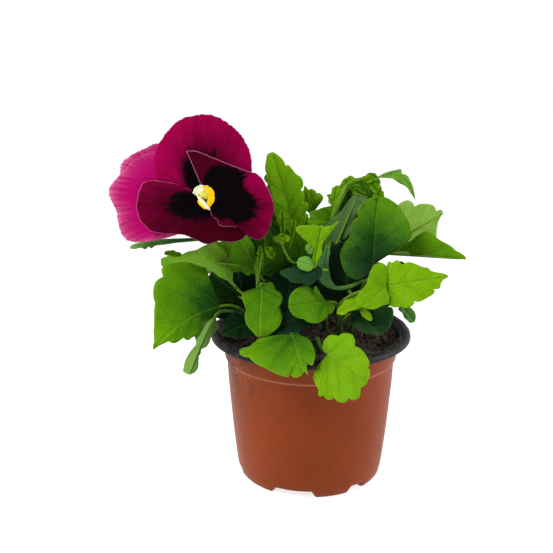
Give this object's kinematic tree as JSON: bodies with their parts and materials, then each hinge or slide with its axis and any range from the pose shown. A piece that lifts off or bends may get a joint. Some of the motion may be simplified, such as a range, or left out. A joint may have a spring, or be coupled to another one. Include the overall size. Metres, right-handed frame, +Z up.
{
  "type": "potted pansy",
  "caption": "Bushy pansy with lobed toothed leaves and a dark magenta bloom, growing in soil in a round thermoformed nursery pot.",
  "frame": {"origin": "middle of the pot's flat bottom, on the surface it stands on", "axes": "+Z up out of the pot, -Y the way the bloom faces, +X to the right seen from the front"},
  "size_m": [0.1775, 0.1386, 0.1927],
  "materials": {
    "terracotta_plastic": "smooth thermoformed sheet, slightly glossy, terracotta outside and black inside",
    "potting_soil": "crumbly dark peat with fibres",
    "leaf_green": "soft satin leaf with pale veins",
    "stalk_green": "smooth pale green stem",
    "petal_dark": "velvety dark magenta with a black-purple blotch",
    "petal_pink": "velvety magenta with paler edges",
    "throat_yellow": "matt cream and orange yellow"
  },
  "bodies": {
    "root": {"pot": "terracotta_plastic", "soil": "potting_soil", "leafy_stem_left_low": "leaf_green", "leafy_stem_left": "leaf_green", "leafy_stem_front": "leaf_green", "leafy_stem_rim": "leaf_green", "leafy_stem_right_front": "leaf_green", "leafy_stem_centre": "leaf_green", "leafy_stem_shoot": "leaf_green", "leafy_stem_right": "leaf_green", "leafy_stem_back_right": "leaf_green", "leafy_stem_back_left": "leaf_green", "flower_stalk": "stalk_green", "petal_lip": "petal_dark", "petal_side_lower": "petal_dark", "petal_side_top": "petal_dark", "petal_upper_front": "petal_pink", "petal_upper_back": "petal_pink", "pistil": "throat_yellow"}
  },
  "joints": []
}
